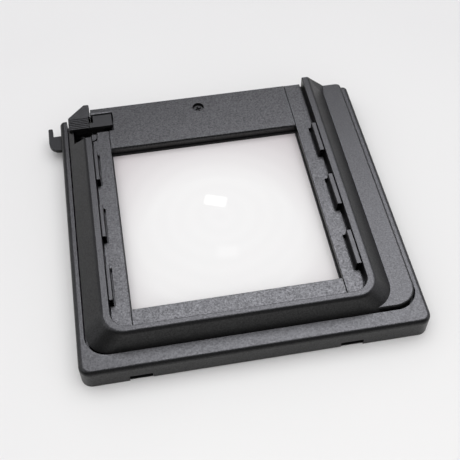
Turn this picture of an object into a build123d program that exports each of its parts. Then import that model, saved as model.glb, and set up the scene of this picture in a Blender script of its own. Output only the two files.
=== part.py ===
"""Focusing-screen adapter for a medium-format camera: a frame that holds a ground glass over a square
window, fits on the camera's face and takes a slide-in viewing hood, held by a sprung thumb catch.

Frame: the origin is on the optical axis in the plane that seats on the camera. +Z points away from the
camera, +Y towards the open end of the hood guides, +X to the right. Millimetres.
"""

import os
from build123d import *

os.makedirs("parts", exist_ok=True)

# --- driving dimensions ------------------------------------------------------------------------------

base_width = 90.0  # along X
base_depth = 87.0  # along Y
base_height = 6.5  # top of the border
base_left = -42.1  # the optical axis isn't central in the outline
base_front = -42.2
base_right = base_left + base_width
base_rear = base_front + base_depth
base_corner = 3.0
base_rear_corner = 1.4
base_edge_round = 1.2
floor_top = 3.0  # the base's floor, on which the cover stands

cover_left = -39.5
cover_right = 45.65
cover_front = -37.37
cover_corner = 7.5
cover_gap_left = 0.5  # open joints at the cover's sides
cover_gap_right = 0.35
plateau_top = 7.6
plateau_front = -36.95
plateau_corner = 6.0
cover_rear_corner = 1.5
part_gap = 0.15  # joint line between mouldings

rim_top = 12.18
rim_foot_left = -40.5  # where the rim's outer slopes would meet the border's level
rim_foot_right = 40.7
rim_edge_left = -34.8  # where they reach the rim's top
rim_edge_right = 35.0
rim_edge_front = -35.35
rim_edge_corner = 6.0
rim_outer_round = 1.2
rim_inner_round = 0.2
flare_length = 6.0  # the right slope eases outwards at its rear end
flare_inner = 36.0
flare_outer = (39.3, 40.35)  # foot of the flare at its start and at the rear face
flare_height = (11.0, 11.2)

bay_left = -32.7  # inner walls of the rim, between which the hood slides
bay_right = 33.05
bay_front = -33.5
bay_corner = 4.5
bay_floor = 8.46
plate_top = 9.66

window = 55.1  # side of the square window between the plates
seam = 0.12

cell = 60.8  # square well that takes the screen frame
cell_top = 7.2
frame_side = 60.4
frame_window = 54.6
glass_side = 58.6
glass_top = 6.6
glass_thickness = 1.5

tab_count = 3
tab_pitch = 20.0
tab_length = 10.8
tab_middle = 0.2
tab_top = 11.95
tab_left_inner = -31.5
tab_left_outer = -32.65
tab_right_inner = 31.55
tab_right_outer = 33.0
tab_strip_front = -25.9
tab_strip_rear = 26.3
sheet = 0.3  # spring sheet
notch_gap = 0.6  # in front of a tab, and beside it at its foot
notch_gap_left = 0.35  # beside the left tabs
notch_gap_rear = 0.2
strip_flange = 29.8  # inner edge of the strips, each side of the axis
strip_pocket = (29.6, 32.6)  # their recesses in the cover

slot_offset = 27.1  # camera support slots, each side of the axis
slot_width = 5.9
slot_height = 2.2
slot_depth = 6.0
slot_sheet = 0.4  # sheet that closes the slots below and behind
slot_sheet_front = 0.35  # set back from the front face
front_relief = 0.4  # the front edge stands this much clear of the camera between the slots

plate_edge = 32.48  # outer edges of the guide plates, each side of the axis
plate_step = (1.4, 3.5)  # cut from the left plate's outer rear corner
plate_step_round = 1.2
ledge_gap = 0.3

camera_plate_thickness = 1.0
camera_window = 57.0
camera_rim = 2.5  # width of moulding left round the camera plate
hook_window_x = 18.0  # camera's upper hooks, each side of the axis
hook_window_y = 37.0
hook_window_size = (9.0, 4.0)

catch_travel = 2.0
catch_front = 37.3
catch_rear = base_rear
pad_left = -39.2
pad_right = -33.2
pad_rear = 42.0
push_rear = 47.0  # the thumb tab stands out behind the rear face
push_tip = -34.3  # its cut corner runs to here
push_right = -32.75
strip_rear = 39.5  # the slope left of the recess ends here, under the pad
stem_left = -37.7
stem_right = -32.85
bar_left = -33.1
bar_right = -26.3
bar_notch = (1.2, 2.9)  # at the bar's rear corner, beside the pad
bar_rear = 42.0
bar_bottom = 8.5
tongue_bottom = 7.5
tongue_right = -29.0
rib_pitch = 0.72
rib_groove = 0.26
rib_count = 6
slide_gap = 0.25  # between the overhanging pad and the slope below it
recess_left = -38.0
recess_front = 31.0
recess_step = 7.0  # above this the recess ends in a slanted edge
pocket_right = -25.9
pocket_front = 35.0
pocket_rear = 42.4

hook_bottom = 3.15
hook_top = 4.35
hook_reach = -45.9
hook_front = 34.9
hook_rear = 40.5
finger_tip = 43.9
finger_width = 1.3
hook_slot_front = hook_front - catch_travel - 0.3
hook_slot_rear = hook_rear + 0.3

pin_radius = 0.6
pin_fit = 0.05
pin_x = -35.6
pin_z = 5.7
pin_sunk = 3.8  # length of the pin in its seat
pin_out = 2.1  # length of the pin inside the catch
spring_radius = 1.15  # middle of the coil
spring_wire = 0.3
spring_turns = 5

screw_radius = 1.0
screw_head = 1.9
small_screw_radius = 0.7
small_screw_head = 1.4
rivet_radius = 0.5
rear_boss = 2.6  # boss of the rear plate round its screw
rear_boss_bottom = 7.2
rear_screw_hole = 1.75
rear_screw_seat = 7.9
hole_gap = 0.05
small_gap = 0.1  # clearance where parts are only laid in
cross_slot = (1.9, 0.45)  # length and width of a slot of the rear screw's cross
cross_turn = 20
cover_head_seat = 0.8  # floor left over the heads of the cover screws
cover_screw_top = 7.8
spring_screw_top = 5.0

leaf_pocket = (6.5, 4.0)  # half sizes of the room round each screen spring
leaf_tip = 27.4  # sideways places of the spring's tip, step and root
leaf_step = 30.3
leaf_root = 36.6
leaf_width = 7.0
leaf_sheet = 0.4

fold_drop = 1.3  # how far a finder tab hangs down at the rim's wall
fold_round = 0.28
recess_corner = (0.6, 1.1)  # slanted corner where the latch recess meets the slope
pocket_foot = (1.1, 0.8)  # room beside and in front of the bar
hook_slot_room = 0.3  # above the hook
window_relief = 0.25  # the cover's window is larger by this on each side
rib_inset = 0.35
rib_depth = 0.2
hook_round = 3.2
finger_round = 0.45
finger_root = 1.0
push_round = 0.5


# --- helpers -----------------------------------------------------------------------------------------


def rect(x0, x1, y0, y1, mode=Mode.ADD):
    """A rectangle given by its edges, in the sketch that is open."""
    with Locations(((x0 + x1) / 2, (y0 + y1) / 2)):
        Rectangle(x1 - x0, y1 - y0, mode=mode)


def round_rect(x0, x1, y0, y1, radius, mode=Mode.ADD):
    """A rectangle with rounded corners, given by its edges."""
    with Locations(((x0 + x1) / 2, (y0 + y1) / 2)):
        RectangleRounded(x1 - x0, y1 - y0, radius, mode=mode)


def cut_box(x0, x1, y0, y1, z0, z1):
    """Removes a box from the part that is open."""
    with BuildSketch(Plane.XY.offset(z0)) as outline:
        rect(x0, x1, y0, y1)
    extrude(outline.sketch, amount=z1 - z0, mode=Mode.SUBTRACT)


def add_box(x0, x1, y0, y1, z0, z1):
    """Adds a box to the part that is open."""
    with BuildSketch(Plane.XY.offset(z0)) as outline:
        rect(x0, x1, y0, y1)
    extrude(outline.sketch, amount=z1 - z0)


def drill(points, radius, z0, z1):
    """Removes round holes at these points from the part that is open."""
    with BuildSketch(Plane.XY.offset(z0)) as holes:
        with Locations(*points):
            Circle(radius)
    extrude(holes.sketch, amount=z1 - z0, mode=Mode.SUBTRACT)


def pegs(points, radius, z0, z1):
    """Adds round studs at these points to the part that is open."""
    with BuildSketch(Plane.XY.offset(z0)) as studs:
        with Locations(*points):
            Circle(radius)
    extrude(studs.sketch, amount=z1 - z0)


def screw_up(points, head_radius, head_z, head_height, shank_radius, tip_z):
    """Cheese-head screws that go in from below, each with a cross recess in its head."""
    pegs(points, head_radius, head_z, head_z + head_height)
    pegs(points, shank_radius, head_z + head_height, tip_z)
    with BuildSketch(Plane.XY.offset(head_z)) as recess:
        with Locations(*points):
            Rectangle(head_radius * 1.2, head_radius * 0.3)
            Rectangle(head_radius * 0.3, head_radius * 1.2)
    extrude(recess.sketch, amount=head_height * 0.5, mode=Mode.SUBTRACT)


def save(part, name):
    """Names a finished piece and writes it."""
    part.label = name
    export_step(part, f"parts/{name}.step")


beyond = base_rear + 20.0  # rounded outlines run out past the rear face, and are cut there
slope = (rim_top - base_height) / (rim_edge_left - rim_foot_left)  # of the rim's left side
tab_centres = [tab_middle + tab_pitch * (i - (tab_count - 1) / 2) for i in range(tab_count)]
cover_screw_points = [(x, y) for x in (-35.6, 36.5) for y in (-30.0, 0.0, 24.0)]
camera_screw_points = [(x, y) for x in (-34.0, 40.0) for y in (-20.0, 33.0)] + [(0.0, -36.0), (0.0, 37.0)]
spring_points = [(x, y) for x in (-33.4, 33.4) for y in (-12.0, 12.0)]
rear_screw = (0.0, 40.2)
rivet_points = [(pin_x - 1.4, 38.9), (pin_x + 1.4, 38.9)]

# --- base frame --------------------------------------------------------------------------------------

with BuildPart() as base_frame:
    with BuildSketch() as outline:
        rect(base_left, base_right, base_front, base_rear)
        fillet(outline.vertices().group_by(Axis.Y)[0], base_corner)
        fillet(outline.vertices().group_by(Axis.Y)[-1], base_rear_corner)
    extrude(amount=base_height)
    fillet(base_frame.faces().sort_by(Axis.Z)[-1].edges(), base_edge_round)
    # seat of the cover, open at the rear
    with BuildSketch(Plane.XY.offset(floor_top)):
        round_rect(
            cover_left - cover_gap_left,
            cover_right + cover_gap_right,
            cover_front - part_gap,
            beyond,
            plateau_corner,
        )
    extrude(amount=base_height, mode=Mode.SUBTRACT)
    # light well, seat of the camera plate, pockets of the leaf springs
    cut_box(-cell / 2, cell / 2, -cell / 2, cell / 2, 0, floor_top)
    cut_box(
        base_left + camera_rim,
        base_right - camera_rim,
        base_front + camera_rim,
        base_rear - camera_rim,
        0,
        camera_plate_thickness,
    )
    for x, y in spring_points:
        half, deep = leaf_pocket
        cut_box(x - half, x + half, y - deep, y + deep, 0, floor_top)
    # slots for the camera's supports, recesses for its upper hooks
    for side in (-1, 1):
        x = side * slot_offset
        half = slot_width / 2
        cut_box(x - half, x + half, base_front, base_front + slot_depth, 0, slot_height)
        x = side * hook_window_x
        half = hook_window_size[0] / 2
        y = hook_window_size[1] / 2
        cut_box(x - half, x + half, hook_window_y - y, hook_window_y + y, 0, floor_top - 0.2)
    inner = slot_offset - slot_width / 2
    cut_box(-inner, inner, base_front, base_front + camera_rim, 0, front_relief)
    # way out for the side hook
    cut_box(
        base_left, recess_left, hook_slot_front, hook_slot_rear, floor_top - 0.1, hook_top + hook_slot_room
    )
    drill(cover_screw_points, screw_radius + hole_gap, 0, floor_top)
    drill(cover_screw_points, screw_head + small_gap, 0, floor_top - cover_head_seat)
    drill(camera_screw_points, small_screw_radius + hole_gap, 0, floor_top - 0.4)
save(base_frame.part, "base_frame")

# --- cover with the guide rim ------------------------------------------------------------------------

with BuildPart() as plateau:
    with BuildSketch(Plane.XY.offset(floor_top)):
        round_rect(0, cover_right, plateau_front, beyond, plateau_corner)
    extrude(amount=plateau_top - floor_top)
    fillet(plateau.faces().sort_by(Axis.Z)[-1].edges(), 0.5)

with BuildPart() as flare:
    with BuildSketch(Plane.XZ.offset(-base_rear)):
        with BuildLine():
            Polyline(
                (flare_inner, flare_height[1]),
                (flare_outer[1], plateau_top - 0.1),
                (flare_inner, plateau_top - 0.1),
                close=True,
            )
        make_face()
    with BuildSketch(Plane.XZ.offset(-(base_rear - flare_length))):
        with BuildLine():
            Polyline(
                (flare_inner, flare_height[0]),
                (flare_outer[0], plateau_top - 0.2),
                (flare_inner, plateau_top - 0.2),
                close=True,
            )
        make_face()
    loft()

with BuildPart() as top_cover:
    # rim: side slopes near 45 degrees, a steep front
    with BuildSketch(Plane.XY.offset(base_height)):
        round_rect(rim_foot_left, rim_foot_right, cover_front, beyond, cover_corner)
    with BuildSketch(Plane.XY.offset(rim_top)):
        round_rect(
            rim_edge_left, rim_edge_right, rim_edge_front, beyond - 6.0, rim_edge_corner
        )
    loft()
    fillet(top_cover.faces().sort_by(Axis.Z)[-1].edges(), rim_outer_round)
    # plateau at the right, and the body that stands on the base's floor
    add(plateau.part)
    add(flare.part)
    with BuildSketch(Plane.XY.offset(floor_top)):
        round_rect(cover_left, rim_foot_right, cover_front, beyond, cover_corner)
    extrude(amount=base_height - floor_top)
    # everything stays in that outline, and ends at the rear face
    with BuildSketch(Plane.XY.offset(floor_top)) as outline:
        rect(cover_left, cover_right, cover_front, base_rear)
        fillet(outline.vertices().group_by(Axis.Y)[0], plateau_corner)
        fillet(outline.vertices().group_by(Axis.Y)[-1].sort_by(Axis.X)[-1], cover_rear_corner)
    extrude(amount=rim_top, mode=Mode.INTERSECT)
    # bay between the rim's walls
    with BuildSketch(Plane.XY.offset(bay_floor)):
        round_rect(bay_left, bay_right, bay_front, beyond, bay_corner)
    extrude(amount=rim_top, mode=Mode.SUBTRACT)
    top_edges = top_cover.edges().group_by(Axis.Z)[-1]
    fillet(top_edges.filter_by_position(Axis.Y, bay_front, base_rear - 0.1), rim_inner_round)
    # window, well of the screen frame, recesses of the tab strips
    half = window / 2 + window_relief
    cut_box(-half, half, -half, half, 0, rim_top)
    cut_box(-cell / 2, cell / 2, -cell / 2, cell / 2, floor_top, cell_top)
    for side in (-1, 1):
        low, high = sorted(side * x for x in strip_pocket)
        front = tab_strip_front - small_gap
        cut_box(low, high, front, tab_strip_rear + small_gap, bay_floor - sheet, bay_floor)
    # latch: recess behind the rim's end, pocket of the bar, way out for the hook
    cut_box(recess_left, bay_left, recess_front, base_rear, floor_top, recess_step)
    with BuildSketch(Plane.XY.offset(recess_step)):
        with BuildLine():
            Polyline(
                (recess_left, recess_front + recess_corner[1]),
                (rim_edge_left - recess_corner[0], recess_front),
                (bay_left, recess_front),
                (bay_left, base_rear),
                (recess_left, base_rear),
                close=True,
            )
        make_face()
    extrude(amount=rim_top, mode=Mode.SUBTRACT)
    cut_box(cover_left, recess_left, strip_rear, base_rear, recess_step - 0.2, rim_top)
    foot_front = pocket_front - pocket_foot[1]
    cut_box(bay_left, bay_left + pocket_foot[0], foot_front, pocket_rear, floor_top, rim_top)
    cut_box(
        bay_left, pocket_right, pocket_front, pocket_rear, tongue_bottom - 0.3, bay_floor
    )
    cut_box(cover_left, recess_left, hook_slot_front, hook_slot_rear, floor_top, hook_top + hook_slot_room)
    # low ledge at the rim's end, which fills the step of the guide plate
    with BuildSketch(Plane.XY.offset(bay_floor)):
        round_rect(
            bay_left - 2.0,
            -plate_edge + plate_step[0] - ledge_gap,
            pocket_front - plate_step[1] + ledge_gap,
            beyond,
            plate_step_round,
        )
        rect(bay_left, 0, recess_front, foot_front, mode=Mode.INTERSECT)
    extrude(amount=plate_top - bay_floor)
    # seat of the spring pin
    with BuildSketch(Plane.XZ.offset(-recess_front)):
        with Locations((pin_x, pin_z)):
            Circle(pin_radius + 0.02)
    extrude(amount=pin_sunk + 0.2, mode=Mode.SUBTRACT)
    drill(cover_screw_points, screw_radius + hole_gap, floor_top, 8.0)
    drill(spring_points, small_screw_radius + hole_gap, floor_top, 5.2)
    drill([rear_screw], screw_radius + hole_gap, 4.0, bay_floor)
    drill([rear_screw], rear_boss + 0.1, rear_boss_bottom, bay_floor)
save(top_cover.part, "top_cover")

# --- plates round the window -------------------------------------------------------------------------

with BuildPart() as left_guide_plate:
    with BuildSketch(Plane.XY.offset(bay_floor)):
        round_rect(-plate_edge, plate_edge, bay_front + 0.1, beyond, bay_corner - 0.1)
        rect(-plate_edge, -window / 2, bay_front, pocket_front, mode=Mode.INTERSECT)
        for y in tab_centres:
            rect(
                -plate_edge,
                tab_left_inner + notch_gap_left,
                y - tab_length / 2 - notch_gap,
                y + tab_length / 2 + notch_gap_rear,
                mode=Mode.SUBTRACT,
            )
        # step beside the rim's cut
        round_rect(
            -plate_edge - 2.0,
            -plate_edge + plate_step[0],
            pocket_front - plate_step[1],
            beyond,
            plate_step_round,
            mode=Mode.SUBTRACT,
        )
    extrude(amount=plate_top - bay_floor)
    chamfer(left_guide_plate.faces().sort_by(Axis.Z)[-1].edges(), 0.1)
save(left_guide_plate.part, "left_guide_plate")

with BuildPart() as right_guide_plate:
    with BuildSketch(Plane.XY.offset(bay_floor)):
        round_rect(-plate_edge, plate_edge, bay_front + 0.1, beyond, bay_corner - 0.1)
        rect(window / 2, plate_edge, bay_front, base_rear - 0.1, mode=Mode.INTERSECT)
        for y in tab_centres:
            rect(
                tab_right_inner - notch_gap,
                plate_edge,
                y - tab_length / 2 - notch_gap,
                y + tab_length / 2 + notch_gap_rear,
                mode=Mode.SUBTRACT,
            )
    extrude(amount=plate_top - bay_floor)
    chamfer(right_guide_plate.faces().sort_by(Axis.Z)[-1].edges(), 0.1)
save(right_guide_plate.part, "right_guide_plate")

with BuildPart() as rear_cover_plate:
    with BuildSketch(Plane.XY.offset(bay_floor)):
        rect(-window / 2 + seam, window / 2 - seam, window / 2, base_rear - 0.1)
        rect(-plate_edge, 0, pocket_rear, base_rear - 0.1)
        rect(-window / 2, pocket_right, pocket_front, pocket_rear, mode=Mode.SUBTRACT)
    extrude(amount=plate_top - bay_floor)
    lengthwise = rear_cover_plate.edges().filter_by(Axis.X).group_by(Axis.Z)[-1]
    front_edge = lengthwise.sort_by(Axis.Y)[0]
    pocket_edges = lengthwise.filter_by_position(Axis.Y, pocket_rear - 0.01, pocket_rear + 0.01)
    chamfer(front_edge, 0.35)
    fillet(pocket_edges, 0.6)
    pegs([rear_screw], rear_boss, rear_boss_bottom, bay_floor)
    drill([rear_screw], screw_radius + 0.1, rear_boss_bottom, plate_top)
    drill([rear_screw], rear_screw_hole, rear_screw_seat, plate_top)
save(rear_cover_plate.part, "rear_cover_plate")

with BuildPart() as front_cover_plate:
    with BuildSketch(Plane.XY.offset(bay_floor)):
        rect(-window / 2 + seam, window / 2 - seam, bay_front + 0.1, -window / 2)
    extrude(amount=plate_top - bay_floor)
    fillet(front_cover_plate.faces().sort_by(Axis.Z)[-1].edges(), 0.12)
save(front_cover_plate.part, "front_cover_plate")

with BuildPart() as rear_plate_screw:
    pegs([rear_screw], screw_radius, 4.3, rear_screw_seat)
    pegs([rear_screw], rear_screw_hole - 0.12, rear_screw_seat, rear_screw_seat + 1.0)
    fillet(rear_plate_screw.faces().sort_by(Axis.Z)[-1].edges(), 0.2)
    with BuildSketch(Plane.XY.offset(rear_screw_seat + 0.4)):
        with Locations(rear_screw):
            Rectangle(cross_slot[0], cross_slot[1], rotation=cross_turn)
            Rectangle(cross_slot[1], cross_slot[0], rotation=cross_turn)
    extrude(amount=1.0, mode=Mode.SUBTRACT)
save(rear_plate_screw.part, "rear_plate_screw")

# --- sprung tabs that grip the hood's foot -----------------------------------------------------------


def tab_strip(inner, outer, flange, name):
    """A strip under a guide plate. Its tabs rise through the notches and fold over to the rim's wall."""
    side = 1 if outer > inner else -1
    with BuildPart() as strip:
        low, high = sorted((flange, inner + side * sheet))
        add_box(low, high, tab_strip_front, tab_strip_rear, bay_floor - sheet, bay_floor)
        for y in tab_centres:
            with BuildSketch(Plane.XZ.offset(-(y + tab_length / 2))) as fold:
                for x0, x1, z0 in (
                    (inner, inner + side * sheet, bay_floor - sheet),
                    (inner, outer, tab_top - sheet),
                    (outer - side * sheet, outer, tab_top - fold_drop),
                ):
                    rect(min(x0, x1), max(x0, x1), z0, tab_top)
                fillet(fold.vertices().group_by(Axis.Y)[-1], fold_round)
            extrude(fold.sketch, amount=tab_length)
    save(strip.part, name)


tab_strip(tab_left_inner, tab_left_outer, -strip_flange, "left_finder_spring")
tab_strip(tab_right_inner, tab_right_outer, strip_flange, "right_finder_spring")

# --- screen ------------------------------------------------------------------------------------------

glass_bottom = glass_top - glass_thickness
lens_bottom = glass_bottom - glass_thickness

with BuildPart() as screen_frame:
    with BuildSketch(Plane.XY.offset(lens_bottom)):
        RectangleRounded(frame_side, frame_side, 0.8)
    extrude(amount=cell_top - lens_bottom)
    cut_box(
        -frame_window / 2, frame_window / 2, -frame_window / 2, frame_window / 2, lens_bottom, cell_top
    )
    half = glass_side / 2 + 0.1
    cut_box(-half, half, -half, half, lens_bottom, glass_top)
save(screen_frame.part, "screen_frame")

with BuildPart() as focusing_screen:
    with BuildSketch(Plane.XY.offset(glass_bottom)):
        RectangleRounded(glass_side, glass_side, 0.6)
    extrude(amount=glass_thickness)
save(focusing_screen.part, "focusing_screen")

with BuildPart() as fresnel_lens:
    with BuildSketch(Plane.XY.offset(lens_bottom)):
        RectangleRounded(glass_side, glass_side, 0.6)
    extrude(amount=glass_thickness)
save(fresnel_lens.part, "fresnel_lens")

with BuildPart() as screen_springs:
    for x, y in spring_points:
        side = 1 if x > 0 else -1
        with BuildSketch(Plane.XZ.offset(-(y + leaf_width / 2))) as leaf:
            for near, far, low, high in (
                (leaf_tip, leaf_step, lens_bottom - leaf_sheet, lens_bottom),
                (leaf_step - leaf_sheet, leaf_step, floor_top - leaf_sheet, lens_bottom),
                (leaf_step - leaf_sheet, leaf_root, floor_top - leaf_sheet, floor_top),
            ):
                x0, x1 = sorted((side * near, side * far))
                rect(x0, x1, low, high)
        extrude(leaf.sketch, amount=leaf_width)
    drill(spring_points, small_screw_radius + hole_gap, 0, floor_top)
save(screen_springs.part, "screen_springs")

with BuildPart() as screen_spring_screws:
    screw_up(spring_points, small_screw_head, floor_top - 1.3, 0.9, small_screw_radius, spring_screw_top)
save(screen_spring_screws.part, "screen_spring_screws")

# --- camera side -------------------------------------------------------------------------------------

with BuildPart() as camera_plate:
    with BuildSketch():
        edge = camera_rim + part_gap
        round_rect(base_left + edge, base_right - edge, base_front + edge, base_rear - edge, 0.5)
        Rectangle(camera_window, camera_window, mode=Mode.SUBTRACT)
        for side in (-1, 1):
            with Locations((side * slot_offset, base_front + slot_depth / 2)):
                Rectangle(slot_width, slot_depth, mode=Mode.SUBTRACT)
            with Locations((side * hook_window_x, hook_window_y)):
                Rectangle(*hook_window_size, mode=Mode.SUBTRACT)
    extrude(amount=camera_plate_thickness)
    drill(camera_screw_points, small_screw_radius + hole_gap, 0, camera_plate_thickness)
    drill(camera_screw_points, small_screw_head + 0.1, 0, 0.6)
save(camera_plate.part, "camera_plate")

with BuildPart() as camera_plate_screws:
    screw_up(camera_screw_points, small_screw_head, 0.1, 0.5, small_screw_radius, floor_top - 0.5)
save(camera_plate_screws.part, "camera_plate_screws")

with BuildPart() as support_slot_plates:
    for side in (-1, 1):
        x = side * slot_offset
        half = slot_width / 2 - 0.05
        front = base_front + slot_sheet_front
        back = base_front + slot_depth - 0.05
        add_box(x - half, x + half, front, back, 0, slot_sheet)
        add_box(x - half, x + half, back - slot_sheet, back, slot_sheet, slot_height - 0.05)
save(support_slot_plates.part, "support_slot_plates")

with BuildPart() as cover_screws:
    screw_up(cover_screw_points, screw_head, floor_top - 1.9, 1.1, screw_radius, cover_screw_top)
save(cover_screws.part, "cover_screws")

# --- thumb catch -------------------------------------------------------------------------------------


def slope_height(x):
    """Height of the rim's left slope at x."""
    return base_height + (x - rim_foot_left) * slope


with BuildPart() as thumb_catch:
    # pad, overhanging the slope
    with BuildSketch(Plane.XZ.offset(-pad_rear)):
        with BuildLine():
            Polyline(
                (pad_left, plate_top),
                (pad_right, plate_top),
                (pad_right, bar_bottom),
                (stem_left, bar_bottom),
                (stem_left, slope_height(recess_left) + slide_gap),
                (recess_left, slope_height(recess_left) + slide_gap),
                (pad_left, slope_height(pad_left) + slide_gap),
                close=True,
            )
        make_face()
    extrude(amount=pad_rear - catch_front)
    # tab that the thumb pushes, with a cut corner
    with BuildSketch(Plane.XY.offset(bar_bottom)) as tab:
        with BuildLine():
            Polyline(
                (pad_left, pad_rear),
                (push_right, pad_rear),
                (push_right, push_rear),
                (push_tip, push_rear),
                (pad_left, push_rear - (push_tip - pad_left)),
                close=True,
            )
        make_face()
        fillet(tab.vertices().group_by(Axis.Y)[-1], push_round)
    extrude(amount=plate_top - bar_bottom)
    # stem, down to the hook
    add_box(stem_left, stem_right, pad_rear, catch_rear - 0.05, hook_top, bar_bottom)
    add_box(stem_left, stem_right, catch_front, pad_rear, hook_top, tongue_bottom)
    # ribs under the thumb
    for i in range(rib_count):
        y = catch_front + rib_inset + rib_pitch * i
        cut_box(pad_left, pad_right, y, y + rib_groove, plate_top - rib_depth, plate_top)
    with BuildSketch(Plane.XZ.offset(-(pad_rear + 0.2))):
        with Locations((pin_x, pin_z)):
            Circle(pin_radius + pin_fit)
    extrude(amount=pad_rear + 0.2 - catch_front, mode=Mode.SUBTRACT)
    drill(rivet_points, rivet_radius + 0.02, hook_top, tongue_bottom)
save(thumb_catch.part, "thumb_catch")

with BuildPart() as latch_bar:
    add_box(bar_left, bar_right, catch_front, bar_rear, bar_bottom, plate_top)
    fillet(latch_bar.faces().sort_by(Axis.Z)[-1].edges(), 0.1)
    add_box(stem_left + 0.1, tongue_right, catch_front + 0.2, bar_rear - 0.2, tongue_bottom, bar_bottom)
    cut_box(
        bar_left - 0.1,
        bar_left + bar_notch[0],
        bar_rear - bar_notch[1],
        bar_rear,
        tongue_bottom,
        plate_top,
    )
    drill(rivet_points, rivet_radius + 0.02, tongue_bottom, bar_bottom)
save(latch_bar.part, "latch_bar")

with BuildPart() as side_hook:
    with BuildSketch(Plane.XY.offset(hook_bottom)):
        rect(hook_reach, stem_right - 0.1, hook_front, hook_rear)
        rect(hook_reach, hook_reach + finger_width, hook_rear - finger_root, finger_tip)
    extrude(amount=hook_top - hook_bottom)
    outer = side_hook.edges().filter_by(Axis.Z).group_by(Axis.Y)[0].sort_by(Axis.X)[0]
    fillet(outer, hook_round)
    tip = side_hook.edges().filter_by(Axis.Z).group_by(Axis.Y)[-1]
    fillet(tip, finger_round)
    drill(rivet_points, rivet_radius + 0.02, hook_bottom, hook_top)
save(side_hook.part, "side_hook")

with BuildPart() as catch_rivets:
    pegs(rivet_points, rivet_radius, hook_bottom, bar_bottom)
save(catch_rivets.part, "catch_rivets")

with BuildPart() as spring_pin:
    with BuildSketch(Plane.XZ.offset(-(catch_front + pin_out))):
        with Locations((pin_x, pin_z)):
            Circle(pin_radius)
    extrude(amount=catch_front + pin_out - (recess_front - pin_sunk))
save(spring_pin.part, "spring_pin")

spring_start = recess_front + spring_wire / 2 + 0.02
spring_length = catch_front - recess_front - spring_wire - 0.04
with BuildPart() as catch_spring:
    with BuildLine() as coil:
        Helix(
            pitch=spring_length / spring_turns,
            height=spring_length,
            radius=spring_radius,
            center=(pin_x, spring_start, pin_z),
            direction=(0, 1, 0),
        )
    with BuildSketch(Plane(origin=coil.line @ 0, z_dir=coil.line % 0)):
        Circle(spring_wire / 2)
    sweep(path=coil.line)
save(catch_spring.part, "catch_spring")
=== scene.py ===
"""Looks of the focusing-screen adapter: black moulded plastic, blackened metal and a ground screen.

Everything is in metres in the part's own frame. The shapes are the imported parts; this script gives
them their materials, adds the catch's coil, which only the eye needs, and sets up camera and light.
"""

import math

import bmesh
import bpy
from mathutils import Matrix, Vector


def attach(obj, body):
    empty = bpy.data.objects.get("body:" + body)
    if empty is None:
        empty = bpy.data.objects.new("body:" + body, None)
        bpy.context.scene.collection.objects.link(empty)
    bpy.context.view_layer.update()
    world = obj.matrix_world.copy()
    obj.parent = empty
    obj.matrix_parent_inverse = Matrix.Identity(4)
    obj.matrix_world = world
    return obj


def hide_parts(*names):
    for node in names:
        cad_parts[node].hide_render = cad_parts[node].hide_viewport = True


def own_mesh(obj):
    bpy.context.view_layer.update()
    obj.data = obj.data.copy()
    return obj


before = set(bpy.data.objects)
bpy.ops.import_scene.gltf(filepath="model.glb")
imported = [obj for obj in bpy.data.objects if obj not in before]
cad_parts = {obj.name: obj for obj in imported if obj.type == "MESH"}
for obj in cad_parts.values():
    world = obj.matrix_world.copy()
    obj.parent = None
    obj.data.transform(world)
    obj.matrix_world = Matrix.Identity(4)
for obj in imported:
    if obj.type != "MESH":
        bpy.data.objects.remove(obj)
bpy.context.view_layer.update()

scene = bpy.context.scene
MM = 0.001

# the catch's spring: its middle line, and the middle of the wire at its two ends
spring_x = -35.6 * MM
spring_z = 5.7 * MM
spring_front = 31.17 * MM
spring_rear = 37.13 * MM
coil_radius = 1.15 * MM
wire_radius = 0.15 * MM
coil_turns = 5

# the ground screen, with its light and shade painted into its colour: middle of its painted brightest
# part, and how far the painted shade reaches
screen_painted_light_middle = (-1 * MM, -8 * MM, 0)
screen_painted_shade_reach = 46 * MM
screen_painted_light_tone = (0.78, 0.78, 0.78)
screen_half_way_painted_shade = (0.77, 0.767, 0.768)
screen_corner_painted_shade = (0.54, 0.50, 0.515)
ring_scale = 60.0
ring_dark = 0.99  # tone between the rings
glint_strength = 0.25
faint_share = 0.12  # strength of the second glint, as a share of the first

# the table: a painted pool of light, brightest in front of the object, and painted shade a little
# darker away from it
table_painted_light_spot = (0.01, -0.07, 0)
table_near, table_far = 0.03, 0.17
table_painted_light_tone = (0.785, 0.785, 0.785)
table_painted_shade_tone = (0.70, 0.70, 0.707)

# the camera
camera_place = (-21.60 * MM, -137.66 * MM, 187.40 * MM)
camera_down = math.radians(53.32)  # below the horizon
camera_turn = math.radians(10.02)  # from straight ahead towards the right
sensor_width = 36.0
focal_length = 64.28


# --- materials ---------------------------------------------------------------------------------------

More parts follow.
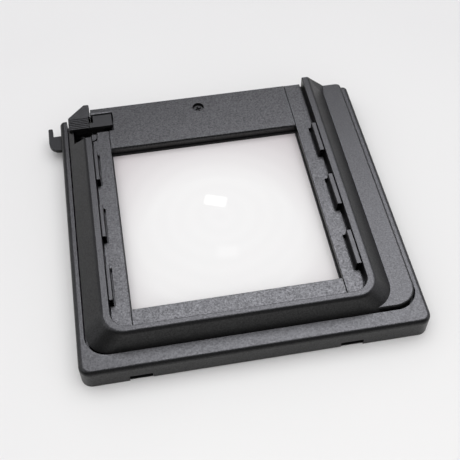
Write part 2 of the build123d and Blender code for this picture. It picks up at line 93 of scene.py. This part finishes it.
class Nodes:
    """A new node material, with short calls for the nodes used here."""

    def __init__(self, name):
        self.material = bpy.data.materials.new(name)
        self.material.use_nodes = True
        self.tree = self.material.node_tree
        self.shader = self.tree.nodes["Principled BSDF"]
        self.coordinates = self.tree.nodes.new("ShaderNodeTexCoord").outputs["Object"]

    def link(self, source, target):
        self.tree.links.new(source, target)

    def set(self, **values):
        for key, value in values.items():
            self.shader.inputs[key.replace("_", " ")].default_value = value

    def reckon(self, operation, first, second=None):
        """A sum or the like. The second value is a number or an output."""
        node = self.tree.nodes.new("ShaderNodeMath")
        node.operation = operation
        self.link(first, node.inputs[0])
        if isinstance(second, float):
            node.inputs[1].default_value = second
        elif second is not None:
            self.link(second, node.inputs[1])
        return node.outputs["Value"]

    def distance(self, point):
        """Distance of each place on the surface from a point."""
        node = self.tree.nodes.new("ShaderNodeVectorMath")
        node.operation = "DISTANCE"
        node.inputs[1].default_value = point
        self.link(self.coordinates, node.inputs[0])
        return node.outputs["Value"]

    def mapped(self, **values):
        """A mapping node over the object's coordinates."""
        node = self.tree.nodes.new("ShaderNodeMapping")
        for key, value in values.items():
            node.inputs[key].default_value = value
        self.link(self.coordinates, node.inputs["Vector"])
        return node

    def noise(self, size, detail=3.0, roughness=0.55, stretch=(1, 1, 1)):
        """Noise with features about size metres across."""
        node = self.tree.nodes.new("ShaderNodeTexNoise")
        node.inputs["Scale"].default_value = 1.0 / size
        node.inputs["Detail"].default_value = detail
        node.inputs["Roughness"].default_value = roughness
        self.link(self.mapped(Scale=stretch).outputs["Vector"], node.inputs["Vector"])
        return node.outputs["Fac"]

    def cells(self, size):
        """Rounded pebbles about size metres across."""
        node = self.tree.nodes.new("ShaderNodeTexVoronoi")
        node.feature = "SMOOTH_F1"
        node.inputs["Scale"].default_value = 1.0 / size
        self.link(self.coordinates, node.inputs["Vector"])
        return node.outputs["Distance"]

    def ramp(self, source, stops):
        """Colours from a value, given as (place, colour) stops."""
        node = self.tree.nodes.new("ShaderNodeValToRGB")
        elements = node.color_ramp.elements
        while len(elements) < len(stops):
            elements.new(0.5)
        for element, (place, colour) in zip(elements, stops):
            element.position = place
            element.color = (*colour, 1.0)
        self.link(source, node.inputs["Fac"])
        return node.outputs["Color"]

    def span(self, source, low, high, start=0.3, end=0.7):
        """The source's range from start to end, laid over the range from low to high."""
        node = self.tree.nodes.new("ShaderNodeMapRange")
        for key, value in (("From Min", start), ("From Max", end), ("To Min", low), ("To Max", high)):
            node.inputs[key].default_value = value
        self.link(source, node.inputs["Value"])
        return node.outputs["Result"]

    def patch(self, centre, half, soft, turn):
        """A soft-edged rectangle seen from above, 1 inside and 0 outside."""
        place = self.mapped(Location=(*centre, 0), Rotation=(0, 0, turn))
        place.vector_type = "TEXTURE"
        split = self.tree.nodes.new("ShaderNodeSeparateXYZ")
        self.link(place.outputs["Vector"], split.inputs["Vector"])
        inside = []
        for axis, reach in zip("XY", half):
            away = self.reckon("ABSOLUTE", split.outputs[axis])
            inside.append(self.span(away, 1, 0, reach - soft / 2, reach + soft / 2))
        return self.reckon("MULTIPLY", *inside)

    def bump(self, height, depth, strength=1.0, under=None):
        """Bump of the given depth in metres, on top of another one if there is one under it."""
        node = self.tree.nodes.new("ShaderNodeBump")
        node.inputs["Strength"].default_value = strength
        node.inputs["Distance"].default_value = depth
        self.link(height, node.inputs["Height"])
        if under is not None:
            self.link(under, node.inputs["Normal"])
        return node.outputs["Normal"]


def grey(level, blue=0.0):
    return (level, level * (1 + blue / 3), level * (1 + blue))


def tones(level, share, blue, start):
    """Ramp stops round a level, darker by the share at start and lighter by it at the far end."""
    dark = grey(level * (1 - share), blue)
    light = grey(level * (1 + share), blue)
    return [(start, dark), (1 - start, light)]


def moulded(name, level, grain, gloss, roughness, contrast, blue=0.06):
    """Black plastic from a spark-eroded mould: a fine grain of brighter and duller points."""
    cloud_size = 6 * MM
    pebble_size = 0.6 * grain
    pebble_depth = 0.006 * MM
    grain_depth = 0.012 * MM
    relief = 0.8
    swing = 0.04  # of the roughness
    m = Nodes(name)
    cloud = m.noise(cloud_size, detail=5)
    m.link(m.ramp(cloud, tones(level, 0.2, blue, 0.3)), m.shader.inputs["Base Color"])
    speckle = m.noise(grain, detail=3, roughness=0.8)
    shine = m.span(speckle, gloss * (1 - contrast), gloss * (1 + contrast))
    m.link(shine, m.shader.inputs["Specular IOR Level"])
    m.link(m.span(speckle, roughness + swing, roughness - swing), m.shader.inputs["Roughness"])
    pebbles = m.bump(m.cells(pebble_size), pebble_depth, relief)
    m.link(m.bump(speckle, grain_depth, relief, under=pebbles), m.shader.inputs["Normal"])
    return m.material


def lined(name, line_size, stretch, smoothest, roughest, depth, relief):
    """A material with the fine lines of a drawn or brushed surface, and the lines' noise."""
    m = Nodes(name)
    lines = m.noise(line_size, detail=4, roughness=0.7, stretch=stretch)
    m.link(m.span(lines, smoothest, roughest), m.shader.inputs["Roughness"])
    m.link(m.bump(lines, depth, relief), m.shader.inputs["Normal"])
    return m, lines


def metal_black(name, level, roughness, stretch, gloss, blue=0.05):
    """Black enamel or oxide over metal, with the fine lines of its finish showing through."""
    m, lines = lined(name, 0.35 * MM, stretch, roughness - 0.08, roughness + 0.1, 0.02 * MM, 0.6)
    m.link(m.ramp(lines, tones(level, 0.3, blue, 0.35)), m.shader.inputs["Base Color"])
    m.set(Specular_IOR_Level=gloss)
    return m.material


def steel(name):
    """Bare steel with fine lines and soft stains."""
    stain_size = 3 * MM
    dull = (0.42, 0.42, 0.43)
    bright = (0.58, 0.58, 0.59)
    m, _ = lined(name, 0.3 * MM, (1, 1, 1), 0.25, 0.45, 0.01 * MM, 0.5)
    stain = m.noise(stain_size, detail=3)
    m.link(m.ramp(stain, [(0.3, dull), (0.7, bright)]), m.shader.inputs["Base Color"])
    m.set(Metallic=1.0)
    return m.material


def ground_screen(name):
    """The ground face of the screen: white, with painted shade that makes it a little darker towards
    its edges, the faint rings of the lens under it, and a painted glint of the softbox that glows."""
    frost_size = 0.12 * MM
    frost_depth = 0.01 * MM
    frost_relief = 0.25
    m = Nodes(name)
    rings = m.tree.nodes.new("ShaderNodeTexWave")
    rings.wave_type = "RINGS"
    rings.rings_direction = "Z"
    rings.inputs["Scale"].default_value = ring_scale
    rings.inputs["Distortion"].default_value = 3.0
    rings.inputs["Detail Scale"].default_value = 0.5
    m.link(m.coordinates, rings.inputs["Vector"])
    # painted shade: the screen's colour darkens from its brightest middle towards its edges
    away = m.span(m.distance(screen_painted_light_middle), 0, 1, 0, screen_painted_shade_reach)
    shade = m.ramp(away, [(0.0, screen_painted_light_tone), (0.5, screen_half_way_painted_shade), (1.0, screen_corner_painted_shade)])
    mix = m.tree.nodes.new("ShaderNodeMix")
    mix.data_type = "RGBA"
    mix.blend_type = "MULTIPLY"
    mix.inputs["Factor"].default_value = 1.0
    m.link(shade, mix.inputs["A"])
    m.link(m.ramp(rings.outputs["Fac"], [(0, grey(ring_dark)), (1, grey(1.0))]), mix.inputs["B"])
    m.link(mix.outputs["Result"], m.shader.inputs["Base Color"])
    frost = m.noise(frost_size, detail=2)
    m.link(m.span(frost, 0.5, 0.65), m.shader.inputs["Roughness"])
    m.link(m.bump(frost, frost_depth, frost_relief), m.shader.inputs["Normal"])
    # painted glints: soft patches that glow, standing in for the softbox's reflection
    sharp = m.patch((-0.4 * MM, 5.8 * MM), (2.9 * MM, 1.6 * MM), 1.0 * MM, -0.35)
    faint = m.patch((0.0, -12.0 * MM), (2.8 * MM, 2.0 * MM), 2.0 * MM, -0.15)
    glow = m.reckon("ADD", m.reckon("MULTIPLY", faint, faint_share), sharp)
    m.link(m.span(glow, 0, glint_strength, 0, 1), m.shader.inputs["Emission Strength"])
    m.set(Specular_IOR_Level=0.08, Emission_Color=(1, 1, 1, 1))
    return m.material


materials = {
    "shell": moulded("black moulding", 0.005, 0.45 * MM, 0.39, 0.36, 0.40),
    "plate": moulded("black moulding, coarse", 0.005, 0.50 * MM, 0.45, 0.36, 0.60),
    "catch": moulded("black moulding, fine", 0.005, 0.30 * MM, 0.31, 0.45, 0.60),
    "enamel_x": metal_black("black enamel", 0.008, 0.5, (0.12, 1, 1), 0.25),
    "enamel": metal_black("black enamel, even", 0.01, 0.45, (1, 1, 1), 0.2),
    "oxide": metal_black("black oxide", 0.006, 0.45, (1, 1, 1), 0.25),
    "spring": metal_black("blackened spring", 0.005, 0.38, (1, 0.1, 1), 0.42),
    "steel": steel("steel"),
    "screen": ground_screen("ground screen"),
}
nodes_with = {
    "shell": ("base_frame", "top_cover"),
    "plate": ("left_guide_plate", "right_guide_plate", "rear_cover_plate", "front_cover_plate"),
    "catch": ("thumb_catch",),
    "enamel_x": ("latch_bar",),
    "enamel": ("side_hook", "screen_frame", "camera_plate"),
    "oxide": ("rear_plate_screw", "support_slot_plates", "cover_screws", "spring_pin"),
    "spring": ("left_finder_spring", "right_finder_spring"),
    "steel": ("screen_springs", "screen_spring_screws", "camera_plate_screws", "catch_rivets"),
    "screen": ("focusing_screen", "fresnel_lens"),
}
for finish, nodes in nodes_with.items():
    for node in nodes:
        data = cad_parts[node].data
        data.materials.clear()
        data.materials.append(materials[finish])


def add_mesh(name, mesh):
    """An object in the scene, made from a finished bmesh."""
    data = bpy.data.meshes.new(name)
    mesh.to_mesh(data)
    piece = bpy.data.objects.new(name, data)
    scene.collection.objects.link(piece)
    return piece


# --- spring of the catch ------------------------------------------------------------------------------

def coil_spring():
    """The catch's spring, as a coil."""
    steps, sides = 160, 10
    length = spring_rear - spring_front
    full_turn = 2 * math.pi
    rise = length / (full_turn * coil_turns * coil_radius)
    mesh = bmesh.new()
    rings = []
    for i in range(steps + 1):
        part = i / steps
        turn = full_turn * coil_turns * part
        outward = Vector((math.cos(turn), 0, math.sin(turn)))
        middle = Vector((spring_x, spring_front + length * part, spring_z)) + outward * coil_radius
        along = Vector((-math.sin(turn), rise, math.cos(turn)))
        across = along.normalized().cross(outward)
        ring = []
        for k in range(sides):
            angle = full_turn * k / sides
            offset = outward * math.cos(angle) + across * math.sin(angle)
            ring.append(mesh.verts.new(middle + offset * wire_radius))
        rings.append(ring)
    for first, second in zip(rings, rings[1:]):
        for k in range(sides):
            mesh.faces.new((first[k], first[k - 1], second[k - 1], second[k]))
    mesh.faces.new(rings[0])
    mesh.faces.new(rings[-1])
    bmesh.ops.recalc_face_normals(mesh, faces=mesh.faces)
    for face in mesh.faces:
        face.smooth = True
    coil = add_mesh("coil", mesh)
    coil.data.materials.append(materials["oxide"])
    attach(coil, "frame")
    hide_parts("catch_spring")
    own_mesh(coil)


coil_spring()


# --- floor, light, camera ----------------------------------------------------------------------------

def pale_floor():
    """A sheet of paper-white table, curved up far behind."""
    half = 1.5
    back = 0.9
    rise = 0.6
    steps = 12
    mesh = bmesh.new()
    profile = [(-half, 0.0), (back, 0.0)]
    for i in range(1, steps + 1):
        angle = math.pi / 2 * i / steps
        profile.append((back + rise * math.sin(angle), rise * (1 - math.cos(angle))))
    rows = []
    for y, z in profile:
        rows.append([mesh.verts.new((x, y, z)) for x in (-half, half)])
    for low, high in zip(rows, rows[1:]):
        mesh.faces.new((low[0], low[1], high[1], high[0]))
    floor = add_mesh("floor", mesh)
    m = Nodes("white table")
    cloud = m.span(m.noise(0.1, detail=2), -0.01, 0.01)
    # painted light and shade: the table's colour is lighter near the bright spot in front of the object
    # and darker away from it
    away = m.reckon("ADD", m.distance(table_painted_light_spot), cloud)
    shade = m.span(away, 0, 1, table_near, table_far)
    tone = m.ramp(shade, [(0, table_painted_light_tone), (1, table_painted_shade_tone)])
    m.link(tone, m.shader.inputs["Base Color"])
    m.set(Roughness=0.9, Specular_IOR_Level=0.0)
    floor.data.materials.append(m.material)


def soft_light(name, place, size, target, power, colour=(1, 1, 1), gleam_only=True):
    """A panel that shows in reflections only, or else one that only lights dull surfaces."""
    light = bpy.data.lights.new(name, "AREA")
    light.shape = "RECTANGLE"
    light.size, light.size_y = size
    light.energy = power
    light.color = colour
    lamp = bpy.data.objects.new(name, light)
    lamp.location = place
    aim = Vector(target) - Vector(place)
    lamp.rotation_euler = aim.to_track_quat("-Z", "Y").to_euler()
    lamp.visible_diffuse = not gleam_only
    lamp.visible_glossy = gleam_only
    scene.collection.objects.link(lamp)


def room_light():
    """Even light from all round, which doesn't show in reflections."""
    world = bpy.data.worlds.new("room")
    scene.world = world
    world.use_nodes = True
    background = world.node_tree.nodes["Background"]
    background.inputs["Color"].default_value = (1.0, 0.99, 0.99, 1)
    background.inputs["Strength"].default_value = 0.80
    world.cycles_visibility.glossy = False


def photo_camera():
    """Standing in front, a little to the left, looking down at the window."""
    data = bpy.data.cameras.new("camera")
    data.sensor_width = sensor_width
    data.lens = focal_length
    data.clip_start = 0.01
    camera = bpy.data.objects.new("camera", data)
    level = math.cos(camera_down)
    ahead = Vector(
        (math.sin(camera_turn) * level, math.cos(camera_turn) * level, -math.sin(camera_down))
    )
    camera.rotation_mode = "QUATERNION"
    camera.rotation_quaternion = ahead.to_track_quat("-Z", "Y")
    camera.location = camera_place
    scene.collection.objects.link(camera)
    scene.camera = camera


pale_floor()
middle = (0, 0, 0)
soft_light("softbox", (0.31, 0.37, 0.90), (0.95, 0.78), (0.31, 0.37, 0), 21.8, (1.0, 1.0, 1.08))
soft_light("left card", (-0.90, 0.20, 0.70), (1.2, 1.2), middle, 6.0, (1.0, 1.0, 1.05))
soft_light("side card", (1.20, 0.10, 0.45), (1.4, 0.8), middle, 3.8, (1.0, 1.0, 1.08))
soft_light("front card", (0, -1.60, 0.80), (2.0, 1.2), middle, 1.9)
soft_light("ceiling panel", (0.10, 0.15, 1.00), (1.6, 1.2), (0.10, 0.0, 0), 6.4, gleam_only=False)
room_light()
scene.view_settings.view_transform = "Standard"
scene.view_settings.look = "None"
photo_camera()
